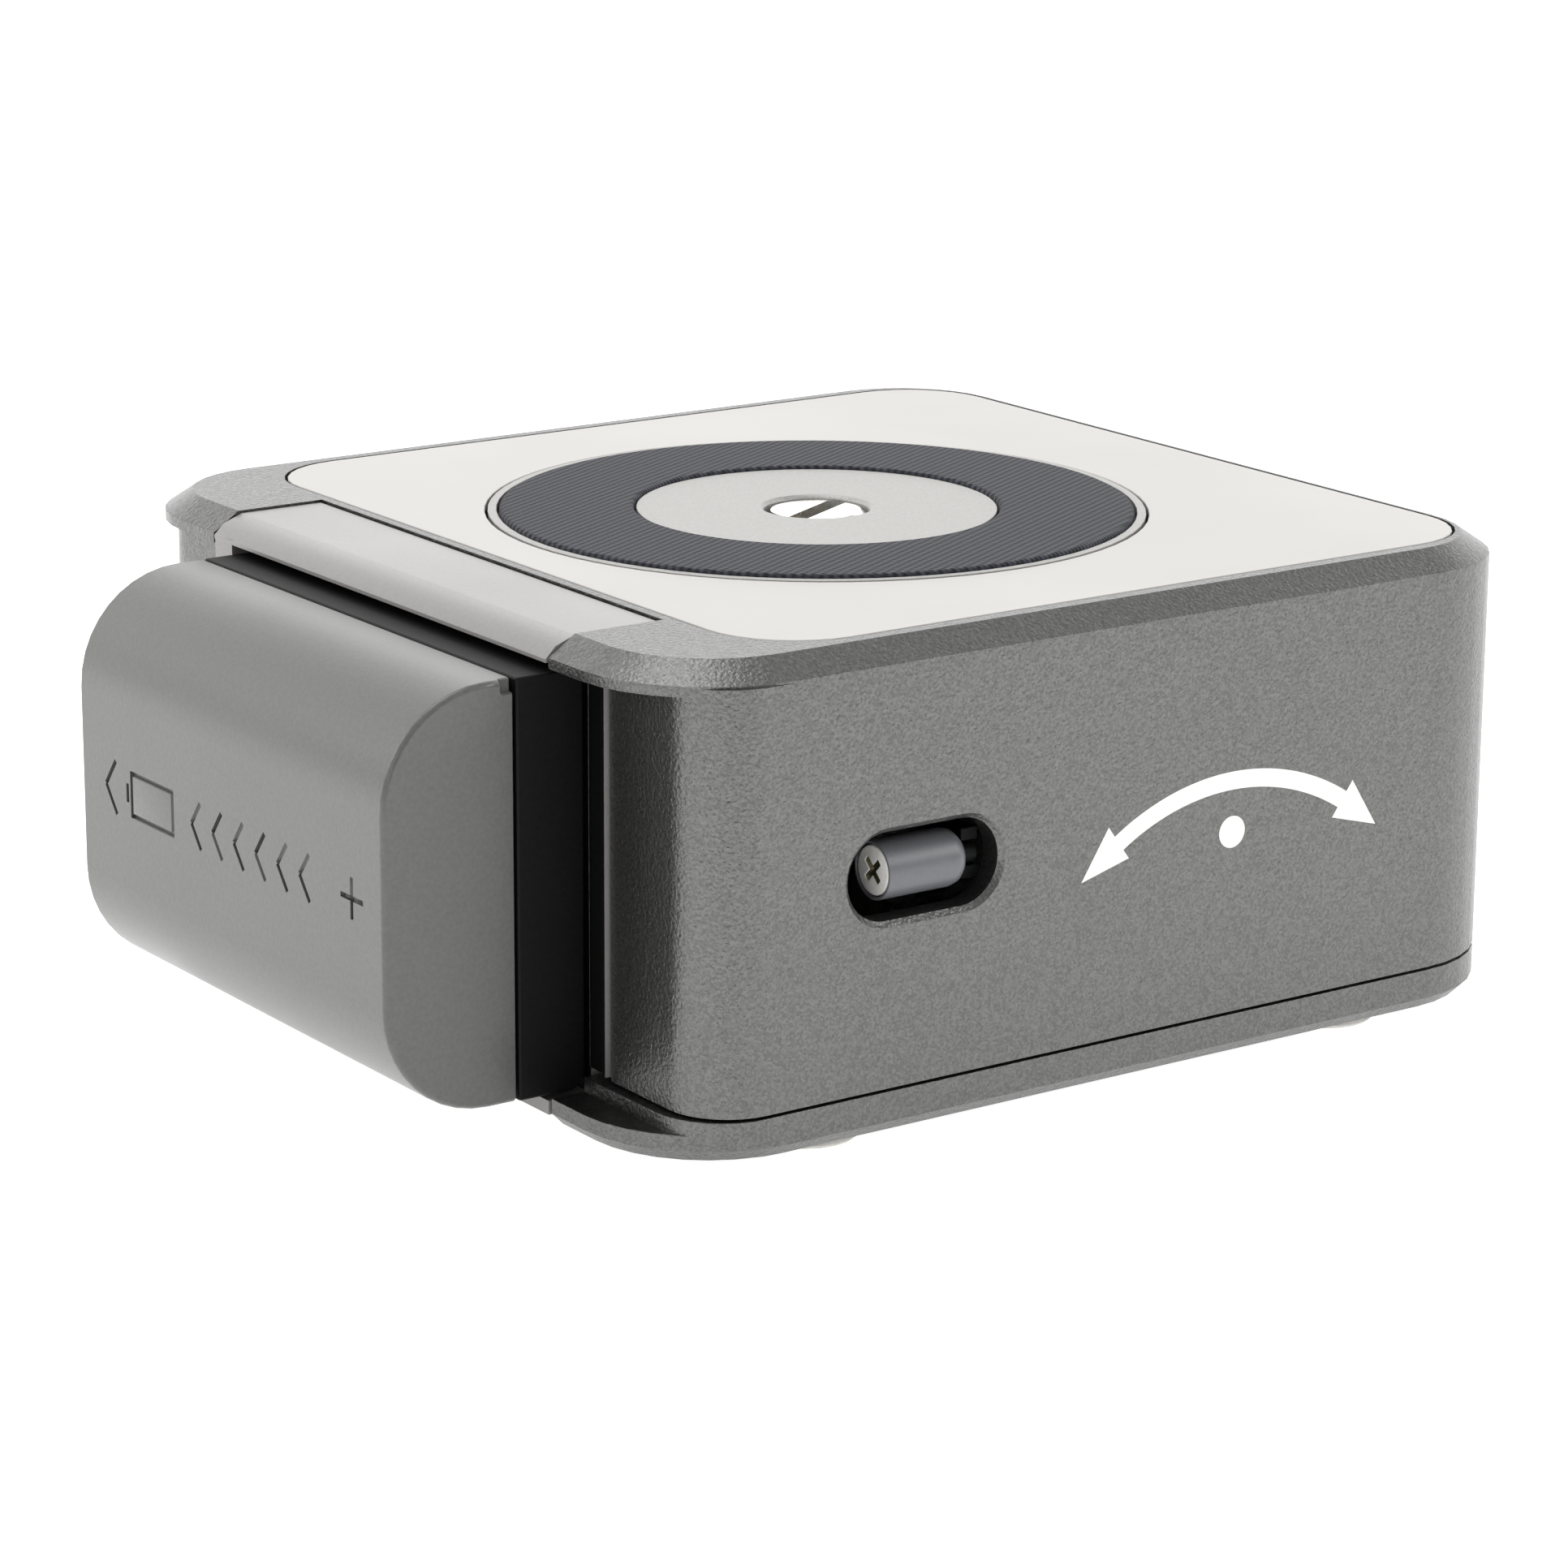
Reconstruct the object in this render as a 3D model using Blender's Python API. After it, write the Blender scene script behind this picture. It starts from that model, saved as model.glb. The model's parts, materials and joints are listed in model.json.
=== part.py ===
"""Motorised pan head with a removable battery pack.

Units in this file are millimetres; every mesh is scaled to metres when it is made.
Model frame: the pan axis is x = 0, y = 0; +X runs along the front wall, -Y is the front, and
z = 0 is the surface that the rubber feet stand on. All objects hang on one empty, which moves
the pan axis so that the part's bounding box is centred on the world origin.
"""
import math

import bmesh
import bpy
from mathutils import Matrix, Vector

MM = 0.001
GAP = 0.3            # clearance between two separate pieces
ROUND = 72           # segments of the big round pieces
MEDIUM = 32
SCREW_SEGMENTS = 12
STEP = 0.05          # keeps the faces of joined solids out of one plane

# ---- outline of the housing ----
BODY_X = 49.5        # half length along the front wall
BODY_Y = 48.35       # half depth
CORNER_R = 13.0
FOOT_H = 1.2         # the bottom cover stands this high on the feet
TOP_Z = 45.3
CHAMFER_IN = 2.7     # top edge chamfer, measured inwards
CHAMFER_Z = 43.5
FLANGE_Z = 42.55     # underside of the top flange on the battery side
WALL = 2.6
BAY_WALL_X = -45.3   # outer face of the battery side wall
BAY_CORNER_R = 6.0
SEAM_Z = 5.15        # top of the bottom cover's rim
CEILING_Z = 41.0     # inside face of the top plate

# ---- inlay panel and turntable ----
PANEL = (-36.5, 46.2, -44.1, 44.1)
PANEL_R = 8.8
PANEL_T = 0.9
DISC_R = 31.4
SEAM_GAP = 0.3
GRIP_R = (17.5, 30.3)
GRIP_PROUD = 0.3
DISC_BOTTOM_Z = 42.0

# ---- battery bay ----
BAY_Y = (-30.1, 28.9)
NOTCH_X = -37.7
INSERT_X = -49.6
BOTTOM_NOTCH_X = -39.7

# ---- battery pack ----
PACK_X = (-66.3, -46.05)
PACK_Y = (-30.3, 24.7)
PACK_Z = (4.2, 42.25)
PACK_EDGE_R = 10.4
PACK_SPLIT_X = -53.1
PACK_WALL = 1.2
CELL_R = 8.6
CELL_X = -55.9
CELL_Z = (14.45, 32.0)
GROOVE_Z = (21.3, 25.1)
GROOVE_DEPTH = 1.4
CATCH_Y = 5.0
BLADE_Z = (17.5, 23.2, 28.9)
BLADE_X = -48.5

# ---- gear train: modules and tooth counts ----
FINE_MODULE = 0.6
COARSE_MODULE = 0.8
PINION_TEETH = 12
IDLER_BIG_TEETH = 48
IDLER_SMALL_TEETH = 12
OUTPUT_TEETH = 60
IDLER_ANGLE = math.radians(-20)
PINION_ANGLE = math.radians(-95)

IDLER_DIST = COARSE_MODULE * (OUTPUT_TEETH + IDLER_SMALL_TEETH) / 2
PINION_DIST = FINE_MODULE * (IDLER_BIG_TEETH + PINION_TEETH) / 2
IDLER_XY = (IDLER_DIST * math.cos(IDLER_ANGLE), IDLER_DIST * math.sin(IDLER_ANGLE))
MOTOR_XY = (IDLER_XY[0] + PINION_DIST * math.cos(PINION_ANGLE),
            IDLER_XY[1] + PINION_DIST * math.sin(PINION_ANGLE))

# ---- stacking heights inside the housing ----
PLATE_Z = (17.0, 19.2)
FINE_GEAR_Z = (20.6, 24.2)
COARSE_GEAR_Z = (24.2, 31.8)
OUTPUT_GEAR_Z = (27.5, 31.3)
HUB_Z = (24.8, 41.7)
HUB_R = 12.0
BEARING_Z = (32.3, 38.3)
CARRIER_Z = (36.6, 38.9)
BALLS = 10
STUD_R = 4.76        # 3/8 inch camera thread
STUD_HOLE_R = 5.06
STUD_TOP_Z = 45.0

# ---- fixings and small parts ----
FEET = [(sx * 30.0, sy * 41.0) for sx in (-1, 1) for sy in (-1, 1)]
FOOT_R = 5.0
POSTS = [(41.0, 36.0), (41.0, -36.0), (-36.5, 36.0), (-36.5, -36.0)]
POST_R = 3.6
PILLARS = [(40.5, 4.0), (38.0, -28.0), (13.0, -36.0)]
SLOT_X = (-30.6, -14.4)
SLOT_Z = (20.6, 28.6)
SLOT_CHAMFER = 0.5
ROLLER_X = (-26.4, -17.6)
ROLLER_R = 2.65
ROLLER_Y = -45.65
ROLLER_Z = 24.6
PIN_HEAD_R = 2.25
BUTTON_XZ = (26.0, 24.0)
JACK_XZ = [(4.0, 24.0), (14.0, 24.0)]
CARRIER_SCREW_R = 34.5

PAN_X = (BODY_X - PACK_X[0]) / 2 - BODY_X   # puts the bounding box centre on x = 0


# ------------------------------------------------------------------ helpers
def material(name, colour, roughness, metallic=0.0):
    mat = bpy.data.materials.new(name)
    mat.use_nodes = True
    shader = mat.node_tree.nodes["Principled BSDF"]
    shader.inputs["Base Color"].default_value = (*colour, 1.0)
    shader.inputs["Roughness"].default_value = roughness
    shader.inputs["Metallic"].default_value = metallic
    mat.diffuse_color = (*colour, 1.0)
    return mat


def place(name, bm, mat=None, sharp=30.0):
    """Turns a bmesh in millimetres into a named object in metres under the pan axis empty."""
    bmesh.ops.scale(bm, vec=(MM, MM, MM), verts=bm.verts)
    bmesh.ops.recalc_face_normals(bm, faces=bm.faces)
    mesh = bpy.data.meshes.new(name)
    bm.to_mesh(mesh)
    bm.free()
    mesh.shade_smooth()
    mesh.set_sharp_from_angle(angle=math.radians(sharp))
    if mat:
        mesh.materials.append(mat)
    obj = bpy.data.objects.new(name, mesh)
    bpy.context.collection.objects.link(obj)
    obj.parent = PAN_AXIS
    return obj


def arc(cx, cy, r, start, end, steps):
    """Points on an arc, angles in degrees, both ends included."""
    angles = [math.radians(start + (end - start) * i / steps) for i in range(steps + 1)]
    return [(cx + r * math.cos(a), cy + r * math.sin(a)) for a in angles]


def rounded(x0, x1, y0, y1, radii, inset=0.0, steps=8):
    """Counter-clockwise outline; radii are those of the (x0, y0), (x1, y0), (x1, y1), (x0, y1) corners."""
    radii = radii if isinstance(radii, (tuple, list)) else (radii,) * 4
    a, b, c, d = (max(r - inset, 0.2) for r in radii)
    x0, x1, y0, y1 = x0 + inset, x1 - inset, y0 + inset, y1 - inset
    return (arc(x0 + a, y0 + a, a, 180, 270, steps) + arc(x1 - b, y0 + b, b, 270, 360, steps)
            + arc(x1 - c, y1 - c, c, 0, 90, steps) + arc(x0 + d, y1 - d, d, 90, 180, steps))


def loft(levels):
    """Closed solid through rings of equal length; levels are (outline, height)."""
    bm = bmesh.new()
    rings = [[bm.verts.new((x, y, z)) for x, y in outline] for outline, z in levels]
    for low, high in zip(rings, rings[1:]):
        for i in range(len(low)):
            j = (i + 1) % len(low)
            bm.faces.new((low[i], low[j], high[j], high[i]))
    bm.faces.new(rings[0][::-1])
    bm.faces.new(rings[-1])
    return bm


def loft_y(levels):
    """Loft along y; levels are (outline in the x, z plane, y)."""
    bm = loft(levels)
    swap = Matrix(((1, 0, 0, 0), (0, 0, 1, 0), (0, 1, 0, 0), (0, 0, 0, 1)))
    bmesh.ops.transform(bm, matrix=swap, verts=bm.verts)
    bmesh.ops.reverse_faces(bm, faces=bm.faces)
    return bm


def prism_y(outline, y0, y1):
    return loft_y([(outline, y0), (outline, y1)])


def turned(profile, segments, centre=(0.0, 0.0)):
    """Solid of revolution about a vertical axis; profile is a closed loop of (radius, height)."""
    bm = bmesh.new()
    rings = []
    for r, z in profile:
        if r < 1e-6:
            rings.append([bm.verts.new((centre[0], centre[1], z))])
            continue
        angles = [2 * math.pi * k / segments for k in range(segments)]
        rings.append([bm.verts.new((centre[0] + r * math.cos(a), centre[1] + r * math.sin(a), z))
                      for a in angles])
    for one, two in zip(rings, rings[1:] + rings[:1]):
        if len(one) == 1 and len(two) == 1:
            continue
        for k in range(segments):
            n = (k + 1) % segments
            corners = [one[k % len(one)], one[n % len(one)], two[n % len(two)], two[k % len(two)]]
            bm.faces.new(list(dict.fromkeys(corners)))
    return bm


def rod(r, z0, z1, segments=24, centre=(0.0, 0.0)):
    return turned([(0, z0), (r, z0), (r, z1), (0, z1)], segments, centre)


def tube(r_in, r_out, z0, z1, segments=32, centre=(0.0, 0.0)):
    return turned([(r_in, z0), (r_out, z0), (r_out, z1), (r_in, z1)], segments, centre)


def block(x0, x1, y0, y1, z0, z1, edge=0.0):
    """Box, with its upright edges rounded when an edge radius is given."""
    if edge > 0:
        outline = rounded(x0, x1, y0, y1, edge, steps=3)
    else:
        outline = [(x0, y0), (x1, y0), (x1, y1), (x0, y1)]
    return loft([(outline, z0), (outline, z1)])


def laid(bm, axis, at):
    """Turns a solid made along +Z to run along axis 'X' or 'Y', with its origin at the point at."""
    turn = Matrix.Rotation(math.radians(90), 4, "Y") if axis == "X" else Matrix.Rotation(math.radians(-90), 4, "X")
    bmesh.ops.transform(bm, matrix=Matrix.Translation(Vector(at)) @ turn, verts=bm.verts)
    return bm


def combine(obj, bm, operation="DIFFERENCE"):
    """Adds an exact Boolean of this solid to the object; the tool stays in the file as a hidden wire."""
    tool = place(obj.name + "_tool", bm)
    tool.hide_render = True
    tool.display_type = "WIRE"
    tool.hide_set(True)
    mod = obj.modifiers.new(operation.lower(), "BOOLEAN")
    mod.operation = operation
    mod.solver = "EXACT"
    mod.object = tool
    return obj


def gear_outline(module, teeth, phase):
    """Straight-flanked teeth with backlash; a tooth is centred on the angle phase."""
    pitch_r = module * teeth / 2
    tip, root = pitch_r + 0.9 * module, pitch_r - 1.15 * module
    step = 2 * math.pi / teeth
    points = []
    for k in range(teeth):
        for r, share in ((root, -0.36), (tip, -0.12), (tip, 0.12), (root, 0.36)):
            a = phase + step * (k + share)
            points.append((r * math.cos(a), r * math.sin(a)))
    return points


def shifted(outline, centre):
    return [(x + centre[0], y + centre[1]) for x, y in outline]


def screw(name, head_r, seat_z, crown_z, shank_r, tip_z, centre):
    """Pan-head screw whose head lies between seat_z and crown_z, with its tip beyond the seat."""
    edge_z = (seat_z + crown_z) / 2
    profile = [(0, tip_z), (shank_r, tip_z), (shank_r, seat_z), (head_r, seat_z), (head_r, edge_z),
               (head_r * 0.7, crown_z), (0, crown_z)]
    return place(name, turned(profile, SCREW_SEGMENTS, centre), STEEL)


def cross_recess(obj, wide, long, z0, z1, centre):
    for half_x, half_y in ((wide, long), (long, wide)):
        combine(obj, block(centre[0] - half_x, centre[0] + half_x, centre[1] - half_y, centre[1] + half_y, z0, z1))


# ------------------------------------------------------------------ scene
for old in list(bpy.data.objects):
    bpy.data.objects.remove(old, do_unlink=True)

PAN_AXIS = bpy.data.objects.new("pan_axis", None)
bpy.context.collection.objects.link(PAN_AXIS)
PAN_AXIS.location = (PAN_X * MM, 0, 0)

PAINT = material("dark_grey_paint", (0.20, 0.20, 0.205), 0.42, 0.8)
PANEL_MAT = material("off_white_satin", (0.80, 0.78, 0.75), 0.45)
DISC_MAT = material("light_grey_anodised", (0.55, 0.54, 0.53), 0.40, 0.6)
TEXTILE = material("charcoal_textile", (0.045, 0.047, 0.062), 0.9)
PLASTIC = material("grey_plastic", (0.22, 0.215, 0.21), 0.5)
DARK = material("black_plastic", (0.03, 0.03, 0.032), 0.5)
STEEL = material("bright_steel", (0.75, 0.74, 0.72), 0.25, 1.0)
BRASS = material("brass", (0.75, 0.58, 0.30), 0.3, 1.0)
RUBBER = material("pale_rubber", (0.62, 0.61, 0.59), 0.8)
BOARD = material("circuit_board", (0.03, 0.16, 0.08), 0.5)
CELL_MAT = material("cell_sleeve", (0.10, 0.28, 0.45), 0.4)
LENS = material("status_lens", (0.85, 0.86, 0.84), 0.2)


def wall_outline(inset=0.0, lip=0.0):
    """The housing's plan below the flange, whose battery side stands back from the full outline."""
    radii = (BAY_CORNER_R + lip, CORNER_R, CORNER_R, BAY_CORNER_R + lip)
    return rounded(BAY_WALL_X - lip, BODY_X, -BODY_Y, BODY_Y, radii, inset)


def full_outline(inset=0.0):
    return rounded(-BODY_X, BODY_X, -BODY_Y, BODY_Y, CORNER_R, inset)


# ------------------------------------------------------------------ housing
def make_main_housing():
    obj = place("main_housing", loft([(full_outline(), FLANGE_Z), (full_outline(), CHAMFER_Z),
                                      (full_outline(CHAMFER_IN), TOP_Z)]), PAINT)
    combine(obj, loft([(wall_outline(), SEAM_Z + GAP), (wall_outline(), CHAMFER_Z - 0.2)]), "UNION")
    combine(obj, loft([(wall_outline(WALL), -1), (wall_outline(WALL), CEILING_Z)]))
    for x, y in POSTS:
        combine(obj, rod(POST_R, SEAM_Z + GAP, CEILING_Z + 1, 16, (x, y)), "UNION")
        combine(obj, rod(1.5, 0, 14, 12, (x, y)))
    for k in range(4):
        x, y = carrier_screw_xy(k)
        combine(obj, rod(3.2, CARRIER_Z[1] + GAP, CEILING_Z + 0.5, 16, (x, y)), "UNION")
        combine(obj, rod(1.4, CARRIER_Z[1] - 1, CEILING_Z + 1.2, 12, (x, y)))
    panel = rounded(*PANEL, PANEL_R, -GAP)
    combine(obj, loft([(panel, TOP_Z - PANEL_T - GAP), (panel, TOP_Z + 1)]))
    combine(obj, rod(DISC_R + SEAM_GAP, 30, TOP_Z + 1, ROUND))
    combine(obj, block(-55, -42.7, -33.2, BAY_Y[1], 3, 42.2))
    combine(obj, block(-55, NOTCH_X, *BAY_Y, 38, 47))
    slot, wide_slot = [rounded(*SLOT_X, *SLOT_Z, (SLOT_Z[1] - SLOT_Z[0]) / 2, -2 * flare)
                       for flare in (0, SLOT_CHAMFER)]
    combine(obj, loft_y([(wide_slot, -BODY_Y - SLOT_CHAMFER), (slot, -BODY_Y + SLOT_CHAMFER),
                         (slot, -BODY_Y + WALL + 1)]))
    combine(obj, rear_tool(BUTTON_XZ, 3.8))
    for spot in JACK_XZ:
        combine(obj, rear_tool(spot, 3.3))
    combine(obj, rear_tool((20.0, 24.0), 1.3))


def rear_tool(spot, r):
    return laid(rod(r, 0, WALL + 2, 24), "Y", (spot[0], BODY_Y - WALL - 1, spot[1]))


def carrier_screw_xy(k):
    a = math.radians(47 + 90 * k)
    return CARRIER_SCREW_R * math.cos(a), CARRIER_SCREW_R * math.sin(a)


def make_bottom_cover():
    ledge = 3.8
    obj = place("bottom_cover", loft([(full_outline(1.2), FOOT_H), (full_outline(), FOOT_H + 1.2),
                                      (full_outline(), ledge)]), PAINT)
    combine(obj, loft([(wall_outline(0, 0.8), ledge - 0.8), (wall_outline(0, 0.8), SEAM_Z)]), "UNION")
    combine(obj, loft([(wall_outline(WALL), ledge - 0.1), (wall_outline(WALL), SEAM_Z + 1)]))
    for x, y in PILLARS:
        combine(obj, rod(3.0, 3, PLATE_Z[0] - GAP, 16, (x, y)), "UNION")
        combine(obj, rod(1.3, 8, PLATE_Z[0] + 1, 12, (x, y)))
    combine(obj, block(-55, BOTTOM_NOTCH_X, *BAY_Y, -1, 8))
    combine(obj, rod(7.3, -1, 8, 32))
    combine(obj, rod(9.4, -1, 2.6, 32))
    combine(obj, tube(13.7, 24.3, 0, 1.9, MEDIUM))
    for x, y in FEET:
        combine(obj, rod(FOOT_R + GAP, 0, 1.9, 20, (x, y)))
    for x, y in POSTS:
        combine(obj, turned([(0, 0), (3.3, 0), (3.3, 2.4), (1.6, 2.4), (1.6, 8), (0, 8)], 16, (x, y)))


def make_top_panel():
    outline = rounded(*PANEL, PANEL_R)
    obj = place("top_panel", loft([(outline, TOP_Z - PANEL_T), (outline, TOP_Z)]), PANEL_MAT)
    combine(obj, rod(DISC_R + SEAM_GAP, 40, TOP_Z + 1, ROUND))


def make_bay_insert():
    """Channel that lines the battery bay: top plate, back plate, bottom plate and end cheek."""
    top = TOP_Z - 0.2
    profile = [(-38.0, top), (-46.6, top), (-48.6, top - 0.75), (INSERT_X, top - 1.75), (INSERT_X, 43.0),
               (BAY_WALL_X, 43.0), (BAY_WALL_X, 3.5), (INSERT_X, 3.5), (INSERT_X, 2.2), (-40.0, 2.2),
               (-40.0, 3.5), (-43.0, 3.5), (-43.0, 42.0), (-38.0, 42.0)]
    obj = place("battery_bay_insert", prism_y(profile, BAY_Y[0] + GAP, BAY_Y[1] - GAP), PLASTIC, 40)
    combine(obj, block(BAY_WALL_X + STEP, -43.0 - STEP, -32.9, -29, 5.8, 41.8), "UNION")
    combine(obj, block(BAY_WALL_X - 0.45, -44, -32.9 - STEP, -32.45, 5.8 - STEP, 41.8 + STEP), "UNION")
    combine(obj, block(INSERT_X + STEP, -44, 25.3, BAY_Y[1] - GAP - STEP, 3, 43.5), "UNION")
    combine(obj, laid(rod(3.6, 0, 4.5, 24), "X", (-43.5, CATCH_Y, 23.2)), "UNION")
    guide = turned([(0, -3), (1.8, -3), (1.8, 0.6), (2.9, 0.6), (2.9, 8), (0, 8)], 20)
    combine(obj, laid(guide, "X", (-43.5, CATCH_Y, 23.2)))
    for z in BLADE_Z:
        combine(obj, block(BLADE_X - 0.7, BLADE_X + 0.7, 24, 27.6, z - 1.2, z + 1.2))


def make_base_parts():
    for i, (x, y) in enumerate(FEET, 1):
        place(f"rubber_foot_{i}", turned([(0, 0), (FOOT_R - 0.5, 0), (FOOT_R, 0.4), (FOOT_R, 1.6), (0, 1.6)],
                                         20, (x, y)), RUBBER)
    for i, (x, y) in enumerate(POSTS, 1):
        obj = screw(f"cover_screw_{i}", 2.9, 2.1, 1.0, 1.2, 12.0, (x, y))
        cross_recess(obj, 0.4, 1.6, 0.5, 1.7, (x, y))
    place("base_bush", turned([(3.97, 0.6), (9.0, 0.6), (9.0, 2.3), (7.0, 2.3), (7.0, 10.5), (3.97, 10.5)], 32), STEEL)
    place("base_pad", tube(14.0, 24.0, 0.4, 1.6, MEDIUM), RUBBER)


# ------------------------------------------------------------------ turntable
def make_turntable():
    obj = place("turntable_disc", turned([(STUD_HOLE_R, DISC_BOTTOM_Z), (DISC_R, DISC_BOTTOM_Z), (DISC_R, 45.35),
                                          (GRIP_R[1] + 0.25, 45.35), (GRIP_R[1] + 0.25, 44.2),
                                          (GRIP_R[0] - 0.25, 44.2), (GRIP_R[0] - 0.25, 45.35),
                                          (STUD_HOLE_R + 0.35, 45.35), (STUD_HOLE_R, 45.0)], ROUND), DISC_MAT)
    for k in range(4):
        x, y = hub_screw_xy(k)
        combine(obj, turned([(0, 41), (1.5, 41), (1.5, 42.9), (2.6, 42.9), (2.6, 46), (0, 46)], 16, (x, y)))
    grip_top = 45.35 + GRIP_PROUD
    place("grip_ring", turned([(GRIP_R[0], 44.5), (GRIP_R[1], 44.5), (GRIP_R[1], grip_top - 0.2),
                               (GRIP_R[1] - 0.3, grip_top), (GRIP_R[0] + 0.3, grip_top),
                               (GRIP_R[0], grip_top - 0.2)], ROUND), TEXTILE)
    hub = place("turntable_hub", turned([(7.3, HUB_Z[0]), (16.0, HUB_Z[0]), (16.0, 27.2), (HUB_R, 27.2),
                                         (HUB_R, 39.3), (24.0, 39.3), (24.0, HUB_Z[1]), (STUD_HOLE_R, HUB_Z[1]),
                                         (STUD_HOLE_R, 34.0), (7.3, 34.0)], MEDIUM), DISC_MAT)
    for k in range(4):
        x, y = hub_screw_xy(k)
        combine(hub, rod(1.5, 39.9, 43, 16, (x, y)))
        screw(f"turntable_screw_{k + 1}", 2.3, 43.2, 44.1, 1.2, 40.2, (x, y))
    gear = place("output_gear", loft([(gear_outline(COARSE_MODULE, OUTPUT_TEETH, IDLER_ANGLE), z)
                                      for z in OUTPUT_GEAR_Z]), BRASS)
    combine(gear, rod(HUB_R + GAP, 20, 40, MEDIUM))
    place("bearing_inner_race", tube(HUB_R + GAP, 14.9, *BEARING_Z, MEDIUM), STEEL)


def hub_screw_xy(k):
    a = math.radians(47 + 90 * k)
    return 21.0 * math.cos(a), 21.0 * math.sin(a)


def make_bearing():
    place("bearing_outer_race", tube(17.3, 20.1, *BEARING_Z, MEDIUM), STEEL)
    cage = place("bearing_ball_cage", tube(15.6, 16.6, 34.3, 36.3, 30), BRASS)
    for k in range(BALLS):
        a = 2 * math.pi * (k + 0.5) / BALLS
        bm = bmesh.new()
        bmesh.ops.create_icosphere(bm, subdivisions=1, radius=0.85)
        bmesh.ops.translate(bm, vec=(16.1 * math.cos(a), 16.1 * math.sin(a), 35.3), verts=bm.verts)
        combine(cage, bm, "UNION")
    obj = place("bearing_carrier", turned([(20.4, 32.0), (22.6, 32.0), (22.6, CARRIER_Z[0]), (37.2, CARRIER_Z[0]),
                                           (37.2, CARRIER_Z[1]), (20.4, CARRIER_Z[1])], MEDIUM), DISC_MAT)
    for k in range(4):
        x, y = carrier_screw_xy(k)
        combine(obj, rod(1.6, 30, 40, 16, (x, y)))
        screw(f"carrier_screw_{k + 1}", 2.2, 36.3, 35.2, 1.1, 41.4, (x, y))


def make_stud():
    place("stud_friction_ring", tube(3.3, 7.0, 25.5, 27.5, 32), BRASS)
    obj = place("camera_stud", turned([(0, 19.5), (3.0, 19.5), (3.0, 31.0), (STUD_R, 31.6), (STUD_R, STUD_TOP_Z - 0.6),
                                       (STUD_R - 0.6, STUD_TOP_Z), (0, STUD_TOP_Z)], 24), STEEL)
    cut = block(-0.95, 0.95, -6, 6, STUD_TOP_Z - 1.8, STUD_TOP_Z + 1)
    bmesh.ops.rotate(cut, cent=(0, 0, 0), matrix=Matrix.Rotation(math.radians(-62), 3, "Z"), verts=cut.verts)
    combine(obj, cut)


# ------------------------------------------------------------------ drive
def make_drive():
    bm = bmesh.new()
    for (x, y), r in [(p, 4.6) for p in PILLARS] + [(IDLER_XY, 6.5), (MOTOR_XY, 10.5)]:
        for z in PLATE_Z:
            for px, py in arc(x, y, r, 0, 337.5, 15):
                bm.verts.new((px, py, z))
    hull = bmesh.ops.convex_hull(bm, input=bm.verts)
    spare = {v for v in hull["geom_interior"] + hull["geom_unused"] if isinstance(v, bmesh.types.BMVert)}
    bmesh.ops.delete(bm, geom=list(spare), context="VERTS")
    bmesh.ops.dissolve_limit(bm, angle_limit=math.radians(1), verts=bm.verts, edges=bm.edges)
    plate = place("gearbox_plate", bm, DISC_MAT)
    combine(plate, rod(3.2, 10, 25, 20, MOTOR_XY))
    combine(plate, rod(1.8, 10, 25, 16, IDLER_XY))
    for i, (x, y) in enumerate(PILLARS, 1):
        combine(plate, rod(1.6, 10, 25, 16, (x, y)))
        screw(f"plate_screw_{i}", 2.3, PLATE_Z[1] + GAP, PLATE_Z[1] + 1.2, 1.0, 9.5, (x, y))
    place("pan_motor", turned([(0, 5.6), (8.6, 5.6), (9.0, 6.0), (9.0, 16.3), (8.6, 16.7), (0, 16.7)],
                              32, MOTOR_XY), STEEL)
    pinion = place("motor_pinion", loft([(shifted(gear_outline(FINE_MODULE, PINION_TEETH, PINION_ANGLE + math.pi),
                                                  MOTOR_XY), z) for z in (20.4, 24.4)]), BRASS)
    combine(pinion, rod(1.2, PLATE_Z[0] + 0.2, 21, 16, MOTOR_XY), "UNION")
    half_small = math.pi / IDLER_SMALL_TEETH
    half_big = math.pi / IDLER_BIG_TEETH
    idler = place("idler_gear", loft([(shifted(gear_outline(FINE_MODULE, IDLER_BIG_TEETH, PINION_ANGLE + half_big),
                                               IDLER_XY), z) for z in FINE_GEAR_Z]), BRASS)
    small = gear_outline(COARSE_MODULE, IDLER_SMALL_TEETH, IDLER_ANGLE + math.pi + half_small)
    combine(idler, loft([(shifted(small, IDLER_XY), z) for z in (23.5, COARSE_GEAR_Z[1])]), "UNION")
    combine(idler, rod(1.8, 15, 40, 16, IDLER_XY))
    place("idler_axle", turned([(0, 16.2), (1.5, 16.2), (1.5, 32.2), (2.6, 32.2), (2.6, 33.2), (0, 33.2)],
                               16, IDLER_XY), STEEL)


# ------------------------------------------------------------------ electronics and controls
def make_electronics():
    place("main_board", block(-38.5, 22.0, 13.0, 31.0, 8.0, 9.6), BOARD)
    place("radio_module", block(-10.0, 8.0, 15.0, 29.0, 9.9, 12.2), STEEL)
    for i, (x, z) in enumerate(JACK_XZ, 1):
        place(f"link_jack_{i}", laid(tube(1.8, 3.0, 0, 9.5, 24), "Y", (x, BODY_Y - 9.6, z)), DARK)
    place("status_lens", laid(rod(1.0, 0, 3.4, 16), "Y", (20.0, BODY_Y - 3.5, 24.0)), LENS)
    x, z = BUTTON_XZ
    place("power_button", laid(turned([(0, 0), (4.6, 0), (4.6, 0.9), (3.5, 0.9), (3.5, 4.2), (3.1, 4.6), (0, 4.6)], 28),
                               "Y", (x, BODY_Y - 4.7, z)), DARK)
    place("button_switch", block(x - 3, x + 3, 39.4, 42.4, z - 3, z + 3), DARK)


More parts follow.
